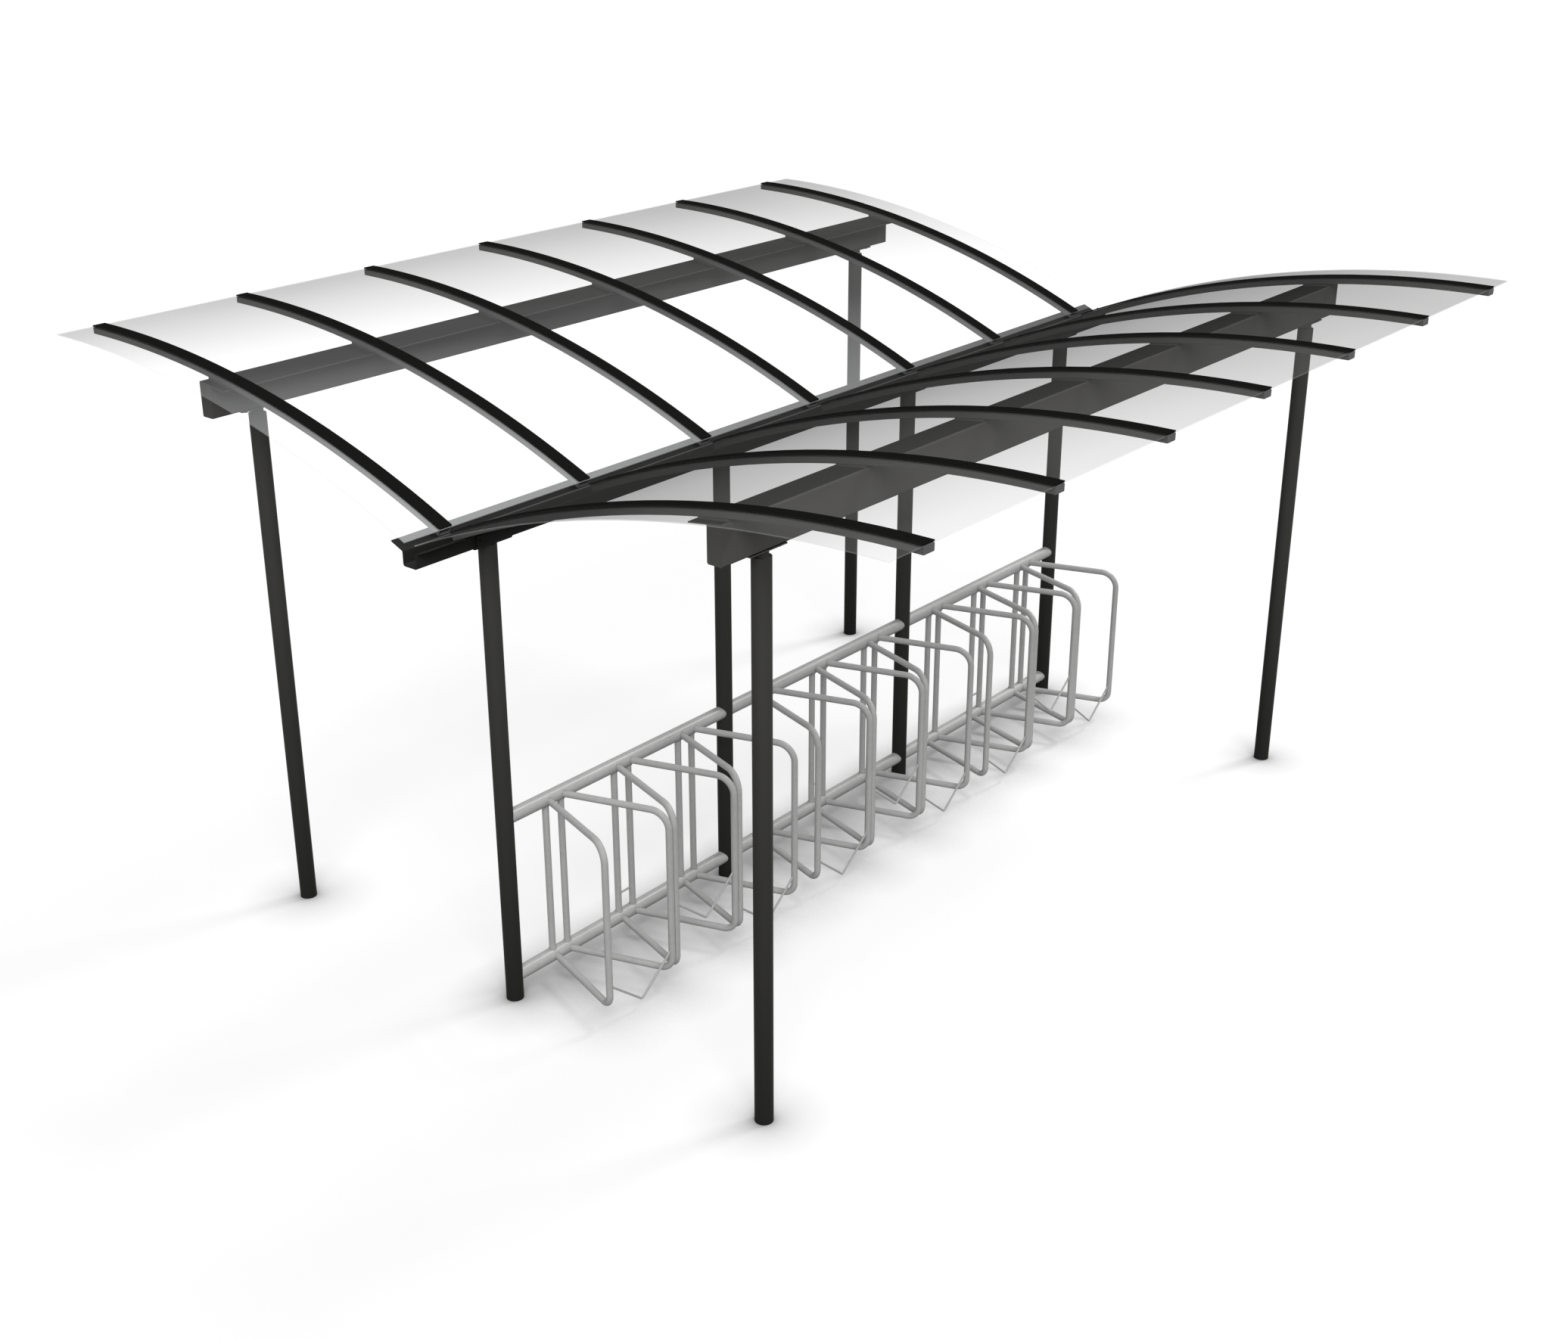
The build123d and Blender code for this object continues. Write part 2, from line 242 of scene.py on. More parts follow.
# cloud, grain, warp and pits are noises: scale, detail, roughness
satin = {
    "cloud": (2.6, 4.0, 0.6), "grain": (700.0, 2.0, 0.5), "grainShare": 0.25,
    "smooth": 0.45, "rough": 0.58, "gloss": 0.03, "peel": 0.10, "peelDepth": 0.0004,
    "footShade": 0.31, "unshadedAbove": 2.2,   # painted shade towards the ground: what is left of the tone at the ground, and the height where it is full
    "topShade": 0.0, "topShadeLean": 0.3,
    "topShadeFrom": 0.79, "topShadeTo": 1.005,    # how far a face looks up where the painted shade on upward faces starts and is full
}
dullSatin = dict(satin, gloss=0.0)
# for the beams: faces that look up carry a painted shade
topShadedSatin = dict(satin, gloss=0.0, topShade=1.0)
zinc = {
    "cloud": (5.0, 5.0, 0.5), "crystalScale": 55.0, "crystalShare": 0.35,
    "warp": (30.0, 2.0, 0.5), "warpSize": 0.012,
    "pits": (420.0, 2.0, 0.5), "pitStrength": 0.12, "pitDepth": 0.0004,
    "smooth": 0.36, "rough": 0.44, "metal": 0.12, "gloss": 0.1,
}
weldZinc = dict(zinc, crystalScale=160.0, smooth=0.45, rough=0.6, metal=0.10)
softRubber = {"grain": (900.0, 2.0, 0.5), "smooth": 0.55, "rough": 0.75, "gloss": 0.05}
sheet = {
    "halfLength": 2.490, "outerEdge": 2.226,    # the second from the valley line
    "edgeBand": 0.0015, "edgeCover": 0.10, "edgeColour": (0.70, 0.70, 0.70),
    "cloud": (1.3, 5.0, 0.5), "uneven": 0.08, "rough": 0.12, "gloss": 0.0,
    # painted reflection, from a steep look to a glancing one: facing, colour, cover of one face
    "veil": [
        (0.43, (0.91, 0.92, 0.93), 0.19),
        (0.62, (0.91, 0.92, 0.93), 0.034),
        (0.64, (0.82, 0.82, 0.82), 0.035),
        (0.66, (0.40, 0.40, 0.397), 0.064),
        (0.69, (0.190, 0.189, 0.185), 0.114),
        (0.78, (0.105, 0.104, 0.100), 0.280),
        (0.85, (0.042, 0.042, 0.041), 0.368),
        (1.0, (0.042, 0.042, 0.041), 0.612),
    ],
}
finishes = {
    "post": powderCoat("postPaint", (0.061, 0.060, 0.056), (0.075, 0.074, 0.069), satin),
    "beam": powderCoat("beamPaint", (0.101, 0.099, 0.095), (0.122, 0.120, 0.115), topShadedSatin),
    "gutter": powderCoat("gutterPaint", (0.020, 0.020, 0.019), (0.028, 0.028, 0.027), satin),
    "rib": powderCoat("ribPaint", (0.120, 0.120, 0.118), (0.150, 0.150, 0.147), satin),
    "strip": powderCoat("stripPaint", (0.0075, 0.0075, 0.007), (0.0105, 0.0105, 0.010), dullSatin),
    "zinc": galvanisedSteel("galvanisedSteel", (0.43, 0.43, 0.425), (0.52, 0.52, 0.515), zinc),
    "weld": galvanisedSteel("weldZinc", (0.34, 0.34, 0.34), (0.46, 0.46, 0.46), weldZinc),
    "sheet": clearSheet("clearSheet", sheet),
    "rubber": rubber("blackRubber", (0.006, 0.006, 0.006), (0.014, 0.014, 0.014), softRubber),
}

# the start of a node's name gives its finish
nodeFinish = {
    "valley_post": "post", "outer_post": "post", "post_necks": "post",
    "gutter_saddles": "gutter", "valley_gutter": "gutter",
    "beam_saddles": "beam", "eaves_beam": "beam", "rib_packers": "beam",
    "rib": "rib", "clamp_strips": "strip", "roof_sheet": "sheet",
    "rack": "zinc", "wheel_place": "zinc",
}
for nodeName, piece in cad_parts.items():
    finish = next(nodeFinish[start] for start in nodeFinish if nodeName.startswith(start))
    piece.data.materials.clear()
    piece.data.materials.append(finishes[finish])
print("finishes set")


def newTree(name, inputs):
    tree = bpy.data.node_groups.new(name, "GeometryNodeTree")
    tree.interface.new_socket("Geometry", in_out="OUTPUT", socket_type="NodeSocketGeometry")
    for label, kind in inputs.items():
        tree.interface.new_socket(label, in_out="INPUT", socket_type="NodeSocket" + kind)
    return tree, addNode(tree, "NodeGroupInput").outputs


def endTree(tree, geometry, materialSocket):
    # instances become real meshes and take their material, as the last two steps of every tree
    realize = addNode(tree, "GeometryNodeRealizeInstances", {"Geometry": geometry})
    paint = addNode(tree, "GeometryNodeSetMaterial", {
        "Geometry": realize.outputs[0], "Material": materialSocket})
    addNode(tree, "NodeGroupOutput", {0: paint.outputs[0]})


def runTree(name, tree, settings, start=None):
    # makes one plain mesh from a tree and its settings, and lets it ride with the shelter
    source = start or bpy.data.objects.new(name + "Source", bpy.data.meshes.new(name + "Source"))
    bpy.context.scene.collection.objects.link(source)
    modifier = source.modifiers.new("tree", "NODES")
    modifier.node_group = tree
    sockets = {item.name: item.identifier for item in tree.interface.items_tree if item.in_out == "INPUT"}
    for label, value in settings.items():
        modifier[sockets[label]] = value
    seen = source.evaluated_get(bpy.context.evaluated_depsgraph_get())
    mesh = bpy.data.meshes.new_from_object(seen)
    bpy.data.objects.remove(source)
    piece = bpy.data.objects.new(name, mesh)
    mesh.name = name
    bpy.context.scene.collection.objects.link(piece)
    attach(piece, "root")
    print("piece", name, len(mesh.polygons), "faces")


def smoothPiece(name, shape):
    # an object with outward, smooth faces
    bmesh.ops.recalc_face_normals(shape, faces=shape.faces)
    for face in shape.faces:
        face.smooth = True
    mesh = bpy.data.meshes.new(name)
    shape.to_mesh(mesh)
    shape.free()
    return bpy.data.objects.new(name, mesh)


def circle(radius, steps):
    turn = [2 * math.pi * i / steps for i in range(steps)]
    return [(radius * math.cos(a), radius * math.sin(a)) for a in turn]


def turnedPiece(name, profile, sides):
    # solid turned about Z from a list of (radius, height), its first and last points on the axis
    shape = bmesh.new()
    rings = []
    for radius, height in profile:
        if radius == 0:
            rings.append([shape.verts.new((0, 0, height))])
        else:
            rings.append([shape.verts.new((x, y, height)) for x, y in circle(radius, sides)])
    for low, high in zip(rings, rings[1:]):
        for i in range(sides):
            j = (i + 1) % sides
            if len(low) == 1:
                shape.faces.new((low[0], high[j], high[i]))
            elif len(high) == 1:
                shape.faces.new((low[i], low[j], high[0]))
            else:
                shape.faces.new((low[i], low[j], high[j], high[i]))
    return smoothPiece(name, shape)


# what the trees on the roof arc are given, and how their points get there
arcInputs = {
    "Arc Radius": "Float", "Apex Offset": "Float", "Centre Height": "Float",
    "Start Angle": "Float", "End Angle": "Float", "Side": "Float",
}


def arcSizes(rise, firstAt, lastAt, side):
    return {
        "Arc Radius": roof["radius"] + rise, "Apex Offset": roof["apexOffset"], "Centre Height": roofCentre,
        "Start Angle": roofAngle(firstAt, rise), "End Angle": roofAngle(lastAt, rise), "Side": side,
    }


def pointAxes(tree):
    return axesOf(tree, addNode(tree, "GeometryNodeInputPosition").outputs[0])


def ontoArc(tree, geometry, x, angle, given):
    radius = given["Arc Radius"]
    across = mathNode(tree, "MULTIPLY_ADD", mathNode(tree, "SINE", angle), radius, given["Apex Offset"])
    up = mathNode(tree, "MULTIPLY_ADD", mathNode(tree, "COSINE", angle), radius, given["Centre Height"])
    place = vectorOf(tree, X=x, Y=mathNode(tree, "MULTIPLY", across, given["Side"]), Z=up)
    return addNode(tree, "GeometryNodeSetPosition", {"Geometry": geometry, "Position": place}).outputs[0]


# rubber seals along both edges of every rib, above and below the sheet
seals = {
    "upper": 0.0050, "upperRise": 0.0021,   # thickness, and how far the middle is from the sheet's face
    "lower": 0.0032, "lowerDrop": 0.0012,
    "outset": 0.6,                          # part of the thickness by which the two lines move apart
    "steps": 56, "sides": 8,
    "lowerEnd": 0.033, "outerEnd": 2.2245,  # from the valley line
}

sealTree, given = newTree("sealsAlongRibs", {
    "Rib Count": "Int", "Rib Span": "Float", "Rib Width": "Float", **arcInputs,
    "Steps": "Int", "Thickness": "Float", "Sides": "Int", "Material": "Material",
})
line = addNode(sealTree, "GeometryNodeMeshLine", {
    "Count": given["Steps"], "Start Location": vectorOf(sealTree, Y=given["Start Angle"]),
    "Offset": vectorOf(sealTree, Y=given["End Angle"])}, mode="END_POINTS")
# a point's Y is its angle until it is bent onto the arc
bent = ontoArc(sealTree, line.outputs[0], 0.0, pointAxes(sealTree)[1], given)
joinLines = addNode(sealTree, "GeometryNodeJoinGeometry")
for hand in (-0.5, 0.5):
    ribLine = addNode(sealTree, "GeometryNodeMeshLine", {"Count": given["Rib Count"]}, mode="END_POINTS")
    shift = mathNode(sealTree, "MULTIPLY", given["Rib Width"], hand)
    for label, half in (("Start Location", -0.5), ("Offset", 0.5)):
        x = mathNode(sealTree, "MULTIPLY_ADD", given["Rib Span"], half, shift)
        setInputs(sealTree, ribLine, {label: vectorOf(sealTree, X=x)})
    sealTree.links.new(ribLine.outputs[0], joinLines.inputs[0])
copies = addNode(sealTree, "GeometryNodeInstanceOnPoints", {"Points": joinLines.outputs[0], "Instance": bent})
paths = addNode(sealTree, "GeometryNodeRealizeInstances", {"Geometry": copies.outputs[0]})
curves = addNode(sealTree, "GeometryNodeMeshToCurve", {"Mesh": paths.outputs[0]})
profile = addNode(sealTree, "GeometryNodeCurvePrimitiveCircle", {
    "Resolution": given["Sides"], "Radius": mathNode(sealTree, "MULTIPLY", given["Thickness"], 0.5)})
tubes = addNode(sealTree, "GeometryNodeCurveToMesh", {
    "Curve": curves.outputs[0], "Profile Curve": profile.outputs[0], "Fill Caps": True})
endTree(sealTree, tubes.outputs[0], given["Material"])

sealLevels = (
    ("Upper", roof["sheetTop"] + seals["upperRise"], seals["upper"]),
    ("Lower", roof["sheetBottom"] - seals["lowerDrop"], seals["lower"]),
)
for wing, side in (("Left", 1.0), ("Right", -1.0)):
    for level, rise, thickness in sealLevels:
        runTree("seals" + level + wing, sealTree, {
            "Rib Count": roof["ribCount"], "Rib Span": roof["ribSpan"],
            "Rib Width": roof["ribWidth"] + thickness * seals["outset"],
            **arcSizes(rise, seals["lowerEnd"], seals["outerEnd"], side),
            "Steps": seals["steps"], "Thickness": thickness, "Sides": seals["sides"],
            "Material": finishes["rubber"],
        })
print("seals made")

# button-head screws on the clamp strips
screws = {
    "perStrip": 8, "width": 0.011, "height": 0.0032, "sunk": 0.002, "sides": 16,
    "firstAt": 0.11, "lastAt": 2.15,        # from the valley line
    # from the rim to the middle of the socket, in parts of the head's radius and height
    "head": [(1.0, 0.15), (0.93, 0.5), (0.76, 0.82), (0.5, 1.0), (0.42, 1.0), (0.38, 0.45), (0.0, 0.42)],
}
screwRadius = screws["width"] / 2
screwProfile = [(0.0, -screws["sunk"]), (screwRadius, -screws["sunk"])]
screwProfile += [(out * screwRadius, up * screws["height"]) for out, up in screws["head"]]
screwHead = turnedPiece("screwHead", screwProfile, screws["sides"])

screwTree, given = newTree("screwsAlongStrips", {
    "Screw": "Object", "Rib Count": "Int", "Rib Span": "Float", "Per Strip": "Int", **arcInputs,
    "Material": "Material",
})
spread = mathNode(screwTree, "SUBTRACT", given["End Angle"], given["Start Angle"])
bothAngles = mathNode(screwTree, "ADD", given["End Angle"], given["Start Angle"])
middle = mathNode(screwTree, "MULTIPLY", bothAngles, 0.5)
grid = addNode(screwTree, "GeometryNodeMeshGrid", {
    "Size X": given["Rib Span"], "Vertices X": given["Rib Count"],
    "Size Y": spread, "Vertices Y": given["Per Strip"]})
axes = pointAxes(screwTree)
bent = ontoArc(screwTree, grid.outputs[0], axes[0], mathNode(screwTree, "ADD", axes[1], middle), given)
# a screw leans with the line from the arc's centre to its place
across = mathNode(screwTree, "MULTIPLY", axes[1], given["Side"])
out = mathNode(screwTree, "SUBTRACT", across, given["Apex Offset"])
rise = mathNode(screwTree, "SUBTRACT", axes[2], given["Centre Height"])
lean = mathNode(screwTree, "MULTIPLY", mathNode(screwTree, "ARCTAN2", out, rise),
                mathNode(screwTree, "MULTIPLY", given["Side"], -1.0))
screw = addNode(screwTree, "GeometryNodeObjectInfo", {"Object": given["Screw"]})
copies = addNode(screwTree, "GeometryNodeInstanceOnPoints", {
    "Points": bent, "Instance": screw.outputs["Geometry"], "Rotation": vectorOf(screwTree, X=lean)})
endTree(screwTree, copies.outputs[0], given["Material"])

bpy.context.scene.collection.objects.link(screwHead)
for wing, side in (("Left", 1.0), ("Right", -1.0)):
    runTree("stripScrews" + wing, screwTree, {
        "Screw": screwHead, "Rib Count": roof["ribCount"], "Rib Span": roof["ribSpan"],
        "Per Strip": screws["perStrip"],
        **arcSizes(roof["stripTop"], screws["firstAt"], screws["lastAt"], side),
        "Material": finishes["strip"],
    })
bpy.data.objects.remove(screwHead)
print("screws made")

# hex bolts with washers: saddles to beams and gutter, ribs to flanges
boltShape = {
    "washerSides": 24, "crownSides": 18,
    "headFoot": 0.9,                        # part of the washer's height at which the head starts
    "crownTop": 0.72, "crownFoot": 0.84,    # parts of the head's radius
    "crownHeight": 0.0008, "crownSunk": 0.0006,
}

boltTree, given = newTree("boltsAtPoints", {
    "Points": "Geometry", "Head Width": "Float", "Head Height": "Float",
    "Washer Width": "Float", "Washer Height": "Float", "Material": "Material",
})
headRadius = mathNode(boltTree, "MULTIPLY", given["Head Width"], 0.5)
washer = addNode(boltTree, "GeometryNodeMeshCylinder", {
    "Vertices": boltShape["washerSides"], "Depth": given["Washer Height"],
    "Radius": mathNode(boltTree, "MULTIPLY", given["Washer Width"], 0.5)})
head = addNode(boltTree, "GeometryNodeMeshCylinder", {
    "Vertices": 6, "Radius": headRadius, "Depth": given["Head Height"]})
crown = addNode(boltTree, "GeometryNodeMeshCone", {
    "Vertices": boltShape["crownSides"], "Depth": boltShape["crownHeight"],
    "Radius Top": mathNode(boltTree, "MULTIPLY", headRadius, boltShape["crownTop"]),
    "Radius Bottom": mathNode(boltTree, "MULTIPLY", headRadius, boltShape["crownFoot"])})
headFoot = mathNode(boltTree, "MULTIPLY", given["Washer Height"], boltShape["headFoot"])
headLift = mathNode(boltTree, "MULTIPLY_ADD", given["Head Height"], 0.5, headFoot)
boltTop = mathNode(boltTree, "ADD", given["Head Height"], given["Washer Height"])
crownLift = mathNode(boltTree, "SUBTRACT", boltTop, boltShape["crownSunk"])
bolt = addNode(boltTree, "GeometryNodeJoinGeometry")
boltTree.links.new(washer.outputs[0], bolt.inputs[0])
for part, lift in ((head, headLift), (crown, crownLift)):
    raised = addNode(boltTree, "GeometryNodeTransform", {
        "Geometry": part.outputs[0], "Translation": vectorOf(boltTree, Z=lift)})
    boltTree.links.new(raised.outputs[0], bolt.inputs[0])
facing = addNode(boltTree, "GeometryNodeInputNamedAttribute", {"Name": "facing"}, data_type="FLOAT_VECTOR")
turn = addNode(boltTree, "FunctionNodeAlignRotationToVector", {
    "Vector": facing.outputs["Attribute"]}, axis="Z")
copies = addNode(boltTree, "GeometryNodeInstanceOnPoints", {
    "Points": given["Points"], "Instance": bolt.outputs[0], "Rotation": turn.outputs[0]})
endTree(boltTree, copies.outputs[0], given["Material"])


def pointsFacing(name, spots):
    # loose points, each with the direction that its bolt faces
    mesh = bpy.data.meshes.new(name)
    mesh.from_pydata([place for place, direction in spots], [], [])
    facing = mesh.attributes.new("facing", "FLOAT_VECTOR", "POINT")
    for item, (place, direction) in zip(facing.data, spots):
        item.vector = direction
    return bpy.data.objects.new(name, mesh)


def setBolts(name, sizes, spots, finish):
    runTree(name, boltTree, {
        "Head Width": sizes["width"], "Head Height": sizes["height"],
        "Washer Width": sizes["washer"], "Washer Height": sizes["washerHeight"],
        "Material": finishes[finish],
    }, pointsFacing(name + "Points", spots))


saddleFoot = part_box("beam_saddles")[0].z
gutterLow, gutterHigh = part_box("gutter_saddles")
postX = [sum(corner.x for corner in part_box("valley_post_%d" % i)) / 2 for i in (1, 2, 3, 4)]
ribX = [roof["ribSpan"] * (i / (roof["ribCount"] - 1) - 0.5) for i in range(roof["ribCount"])]

# four bolts up through each beam saddle
beamSaddleBolts = {
    "width": 0.016, "height": 0.004, "washer": 0.021, "washerHeight": 0.0015,
    "beamMiddle": 1.398, "fromPost": 0.072, "fromMiddle": 0.020,
}
spots = []
for x in (postX[0], postX[-1]):
    for side in (1, -1):
        for along in (-beamSaddleBolts["fromPost"], beamSaddleBolts["fromPost"]):
            for off in (-beamSaddleBolts["fromMiddle"], beamSaddleBolts["fromMiddle"]):
                y = side * beamSaddleBolts["beamMiddle"] + off
                spots.append(((x + along, y, saddleFoot), (0, 0, -1)))
setBolts("beamSaddleBolts", beamSaddleBolts, spots, "beam")

# two bolts through each side of a gutter saddle
gutterSaddleBolts = {
    "width": 0.010, "height": 0.003, "washer": 0.013, "washerHeight": 0.001,
    "fromPost": 0.072, "fromFoot": 0.036,
}
spots = []
for x in postX:
    for side in (1, -1):
        for along in (-gutterSaddleBolts["fromPost"], gutterSaddleBolts["fromPost"]):
            z = gutterLow.z + gutterSaddleBolts["fromFoot"]
            spots.append(((x + along, side * gutterHigh.y, z), (0, side, 0)))
setBolts("gutterSaddleBolts", gutterSaddleBolts, spots, "gutter")

# bolts under every rib, through the flanges of the beam and of the gutter
ribBolts = {
    "width": 0.013, "height": 0.0035, "washer": 0.018, "washerHeight": 0.0012,
    "onBeam": 1.321, "onGutter": 0.072,     # from the valley line
}
beamFlange = {"tip": 1.279, "tipGap": 0.0076, "tilt": 7.7, "thickness": 0.005}
gutterFlange = {"root": 0.0365, "tip": 0.0995, "thickness": 0.005}
beamTilt = math.radians(beamFlange["tilt"])
beamUnder = (roofHeight(beamFlange["tip"]) - beamFlange["tipGap"]
             + (ribBolts["onBeam"] - beamFlange["tip"]) * math.tan(beamTilt)
             - beamFlange["thickness"] / math.cos(beamTilt))
gutterRise = roofHeight(gutterFlange["tip"]) - roofHeight(gutterFlange["root"])
gutterTilt = math.atan(gutterRise / (gutterFlange["tip"] - gutterFlange["root"]))
gutterUnder = (roofHeight(gutterFlange["root"])
               + (ribBolts["onGutter"] - gutterFlange["root"]) * math.tan(gutterTilt)
               - gutterFlange["thickness"] / math.cos(gutterTilt))
flanges = (
    (ribBolts["onBeam"], beamUnder, beamTilt),
    (ribBolts["onGutter"], gutterUnder, gutterTilt),
)
spots = []
for x in ribX:
    for side in (1, -1):
        for y, z, tilt in flanges:
            spots.append(((x, side * y, z), (0, side * math.sin(tilt), -math.cos(tilt))))
setBolts("ribBolts", ribBolts, spots, "beam")
print("bolts made")

# weld beads on the rack
weld = {
    "thickness": 0.0055, "steps": 28, "sides": 8,
    "rodThickness": 0.0035, "rodSteps": 14,
    "tubeGap": 0.0012, "metalGap": 0.0008,  # a bead's middle from a tube's face, and from a rail's or a rod's
    "cradleStretch": 1.25, "cradleDrop": 0.011,
}


def beadRing(shape, points, thickness):
    # closed bead that follows a closed loop of points
    aside = Vector((0.31, 0.17, 0.93))      # no loop runs this way
    rings = []
    for i, point in enumerate(points):
        ahead = (points[(i + 1) % len(points)] - points[i - 1]).normalized()
        first = ahead.cross(aside).normalized()
        second = ahead.cross(first)
        ring = circle(thickness / 2, weld["sides"])
        rings.append([shape.verts.new(point + first * u + second * v) for u, v in ring])
    for near, far in zip(rings, rings[1:] + rings[:1]):
        for k in range(weld["sides"]):
            m = (k + 1) % weld["sides"]
            shape.faces.new((near[k], near[m], far[m], far[k]))


def placeWelds(name, rodEnd, hasTie):
    # beads of one wheel place, centred on x = 0
    shape = bmesh.new()
    tube, rail, bar = rack["tubeRadius"], rack["railRadius"], rack["barOffset"]
    aroundTube = circle(tube + weld["tubeGap"], weld["steps"])
    aroundRod = circle(rack["rodRadius"] + weld["metalGap"], weld["rodSteps"])
    for hand in (-1, 1):
        # upright bars on both rails
        for height, away in ((rack["bottomRail"], 1), (rack["topRail"], -1)):
            loop = []
            for x, y in aroundTube:
                z = height + away * (math.sqrt(rail**2 - y**2) + weld["metalGap"])
                loop.append(Vector((hand * bar + x, y, z)))
            beadRing(shape, loop, weld["thickness"])
        # hoops on both rails, where a slanted tube meets the rail's face
        along = Vector((hand * (rack["legOffset"] - bar), rail - rack["hoopReach"], 0)).normalized()
        level = Vector((along.y, -along.x, 0))
        for height in (rack["bottomRail"], rack["topRail"]):
            loop = []
            for u, v in aroundTube:
                start = Vector((hand * bar, -rail, height + v)) + level * u
                face = -math.sqrt(rail**2 - v**2) - weld["metalGap"]
                loop.append(start + along * ((face - start.y) / along.y))
            beadRing(shape, loop, weld["thickness"])
        # cradle rod on the outer leg, and the tie rod on the upright bar
        leg = Vector((hand * rack["legOffset"], -rack["hoopReach"], rodEnd - weld["cradleDrop"]))
        rods = [(leg, weld["cradleStretch"])]
        if hasTie:
            rods.append((Vector((hand * bar, 0, rack["tieHeight"])), 1.0))
        for end, stretch in rods:
            loop = []
            for y, z in aroundRod:
                x = -hand * math.sqrt(tube**2 - y**2)
                loop.append(end + Vector((x, y, z * stretch)))
            beadRing(shape, loop, weld["rodThickness"])
    return smoothPiece(name, shape)


def centredLine(tree, count, pitch):
    span = mathNode(tree, "MULTIPLY", mathNode(tree, "SUBTRACT", count, 1.0), pitch)
    start = vectorOf(tree, X=mathNode(tree, "MULTIPLY", span, -0.5))
    return addNode(tree, "GeometryNodeMeshLine", {
        "Count": count, "Start Location": start, "Offset": vectorOf(tree, X=pitch)}, mode="OFFSET").outputs[0]


weldTree, given = newTree("weldsAlongRack", {
    "Welds": "Object", "Bays": "Int", "Bay Pitch": "Float", "Places": "Int", "Place Pitch": "Float",
    "Material": "Material",
})
bays = centredLine(weldTree, given["Bays"], given["Bay Pitch"])
places = centredLine(weldTree, given["Places"], given["Place Pitch"])
allPlaces = addNode(weldTree, "GeometryNodeInstanceOnPoints", {"Points": bays, "Instance": places})
allPlaces = addNode(weldTree, "GeometryNodeRealizeInstances", {"Geometry": allPlaces.outputs[0]})
welds = addNode(weldTree, "GeometryNodeObjectInfo", {"Object": given["Welds"]})
copies = addNode(weldTree, "GeometryNodeInstanceOnPoints", {
    "Points": allPlaces.outputs[0], "Instance": welds.outputs["Geometry"]})
endTree(weldTree, copies.outputs[0], given["Material"])

placeKinds = (
    ("sidePlaceWelds", rack["lowRodEnd"], False, 2),
    ("middlePlaceWelds", rack["highRodEnd"], True, 1),
)
for name, rodEnd, hasTie, count in placeKinds:
    one = placeWelds(name + "Unit", rodEnd, hasTie)
    bpy.context.scene.collection.objects.link(one)
    runTree(name, weldTree, {
        "Welds": one, "Bays": rack["bayCount"], "Bay Pitch": rack["bayPitch"], "Places": count,
        "Place Pitch": 2 * rack["placePitch"], "Material": finishes["weld"],
    })
    bpy.data.objects.remove(one)
print("welds made")

# floor, light and camera
studio = {
    "floorSize": 400.0, "floorGlow": 0.68, "floorColour": 0.37, "bounceColour": 0.14, "worldLight": 0.26,
    "contactReach": 0.30, "contactDepth": 3.4, "contactSamples": 16,
    "lamps": {
        "front": {"strength": 2.2, "spread": 35.0, "height": 38.0, "heading": 226.0, "inGloss": False},
        "back": {"strength": 1.5, "spread": 12.0, "height": 51.0, "heading": 341.0, "inGloss": True},
    },
}


def whiteToViewer(tree):
    # 1 for rays that come straight from the viewer or by way of a mirror-like or clear surface
    ray = addNode(tree, "ShaderNodeLightPath").outputs
    indirect = mathNode(tree, "MAXIMUM", ray["Is Glossy Ray"], ray["Is Transmission Ray"])
    return mathNode(tree, "MAXIMUM", ray["Is Camera Ray"], indirect)


world = bpy.data.worlds.new("studioWorld")
bpy.context.scene.world = world
world.use_nodes = True
tree = world.node_tree
worldLight = studio["worldLight"]
setInputs(tree, tree.nodes["Background"], {
    "Color": (1, 1, 1, 1),
    "Strength": mathNode(tree, "MULTIPLY_ADD", whiteToViewer(tree), 1.0 - worldLight, worldLight),
})

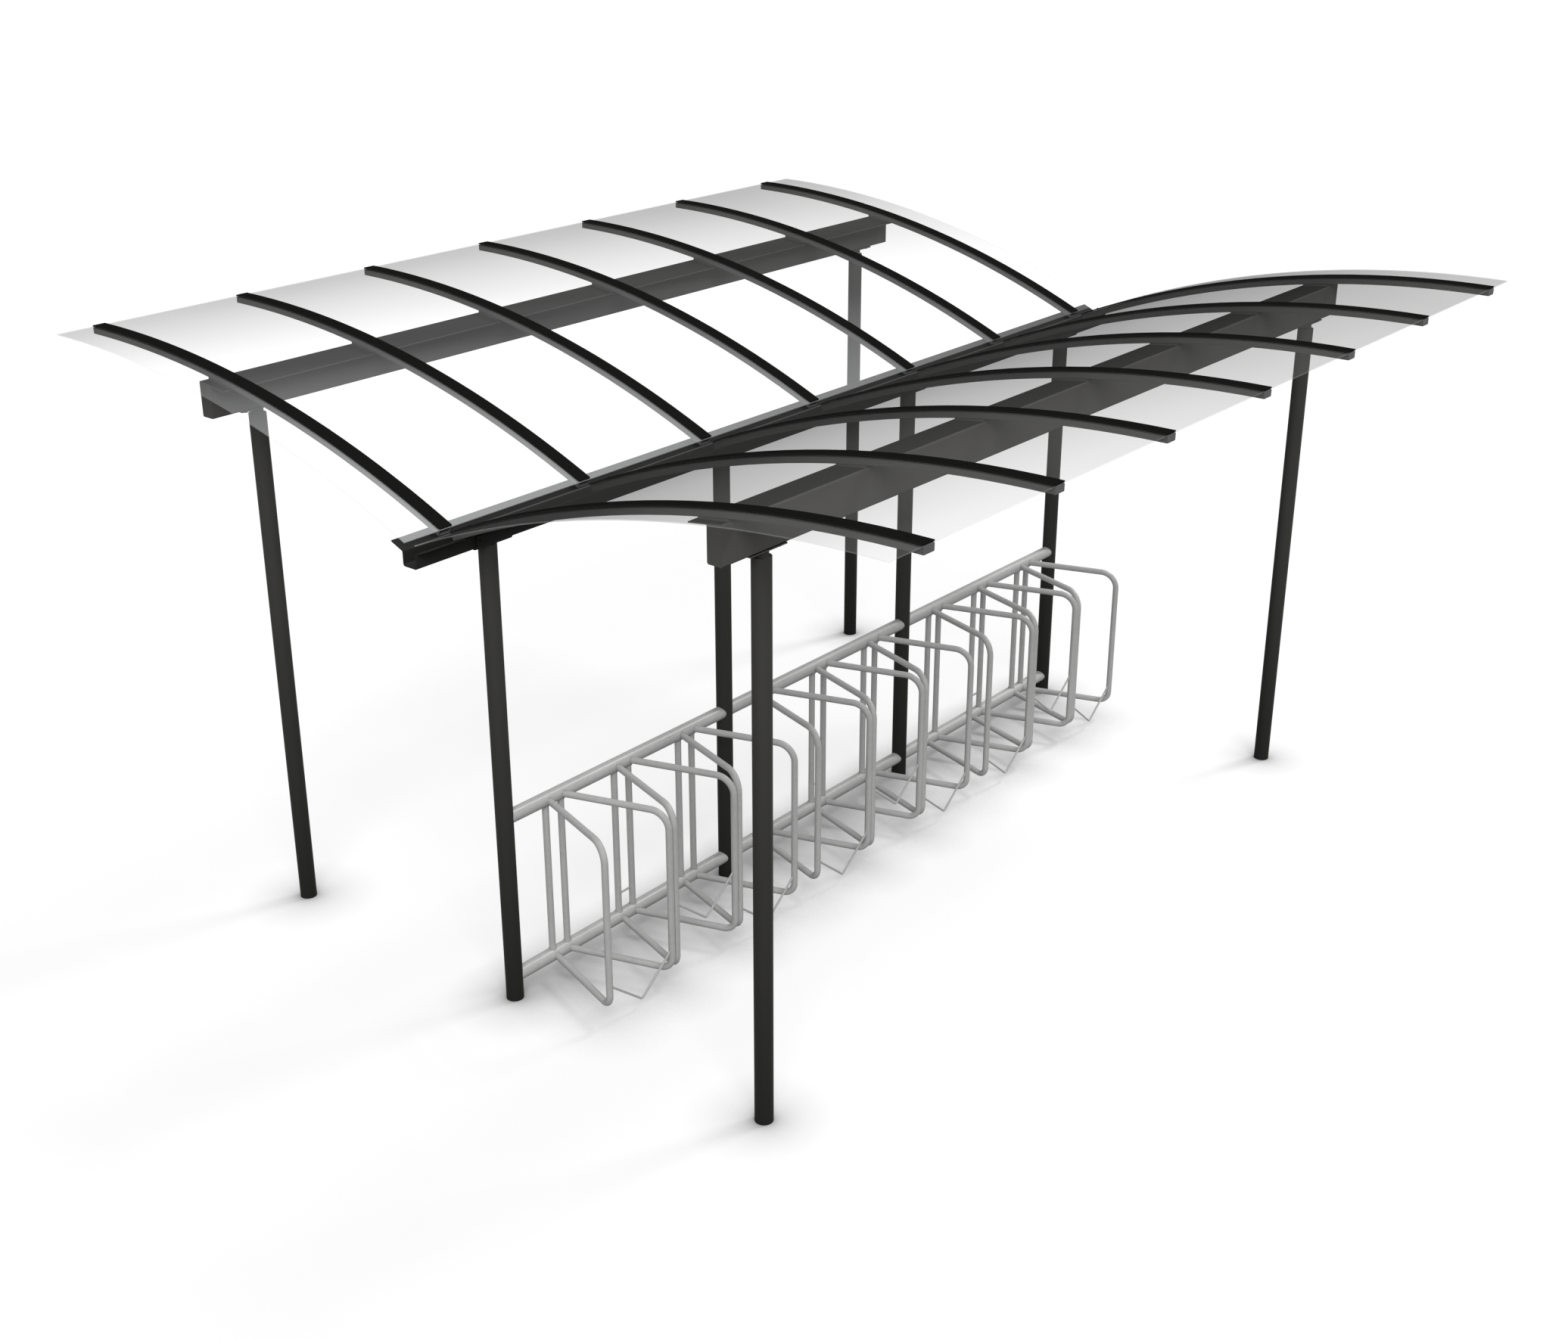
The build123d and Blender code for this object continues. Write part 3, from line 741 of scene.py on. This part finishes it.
floorMesh = bpy.data.meshes.new("floor")
half = studio["floorSize"] / 2
corners = [(-half, -half, 0), (half, -half, 0), (half, half, 0), (-half, half, 0)]
floorMesh.from_pydata(corners, [], [(0, 1, 2, 3)])
floor = bpy.data.objects.new("floor", floorMesh)
bpy.context.scene.collection.objects.link(floor)
floorMaterial = bpy.data.materials.new("paleFloor")
floorMaterial.use_nodes = True
tree = floorMaterial.node_tree
tree.nodes.clear()
seen = whiteToViewer(tree)
contact = addNode(tree, "ShaderNodeAmbientOcclusion", {"Distance": studio["contactReach"]},
                  samples=studio["contactSamples"]).outputs["AO"]
openness = mathNode(tree, "POWER", contact, studio["contactDepth"])
glowing = mathNode(tree, "MULTIPLY", mathNode(tree, "MULTIPLY", seen, openness), studio["floorGlow"])
glow = addNode(tree, "ShaderNodeEmission", {"Color": (1, 1, 1, 1), "Strength": glowing})
bounce = studio["bounceColour"]
paleness = mathNode(tree, "MULTIPLY_ADD", seen, studio["floorColour"] - bounce, bounce)
tone = addNode(tree, "ShaderNodeCombineColor", {0: paleness, 1: paleness, 2: paleness})
matt = addNode(tree, "ShaderNodeBsdfDiffuse", {"Color": tone.outputs[0]})
both = addNode(tree, "ShaderNodeAddShader", {0: glow.outputs[0], 1: matt.outputs[0]})
addNode(tree, "ShaderNodeOutputMaterial", {"Surface": both.outputs[0]})
floorMesh.materials.append(floorMaterial)

for name, lamp in studio["lamps"].items():
    light = bpy.data.lights.new(name, "SUN")
    light.energy = lamp["strength"]
    light.angle = math.radians(lamp["spread"])
    lampObject = bpy.data.objects.new(name, light)
    bpy.context.scene.collection.objects.link(lampObject)
    lampObject.visible_glossy = lamp["inGloss"]
    heading, height = math.radians(lamp["heading"]), math.radians(lamp["height"])
    level = math.cos(height)
    toLamp = Vector((math.cos(heading) * level, math.sin(heading) * level, math.sin(height)))
    lampObject.rotation_euler = toLamp.to_track_quat("Z", "Y").to_euler()

view = {
    "place": (-7.1422, -5.6099, 4.7681), "heading": 39.193, "down": 23.402,
    "lens": 46.37, "sensor": 36.0, "reach": 1000.0,
}
camera = bpy.data.cameras.new("camera")
camera.lens = view["lens"]
camera.sensor_width = view["sensor"]
camera.clip_end = view["reach"]
cameraObject = bpy.data.objects.new("camera", camera)
bpy.context.scene.collection.objects.link(cameraObject)
cameraObject.location = view["place"]
cameraObject.rotation_euler = (math.radians(90.0 - view["down"]), 0, math.radians(view["heading"] - 90.0))
bpy.context.scene.camera = cameraObject
bpy.context.scene.view_settings.view_transform = "Standard"
print("stage set")
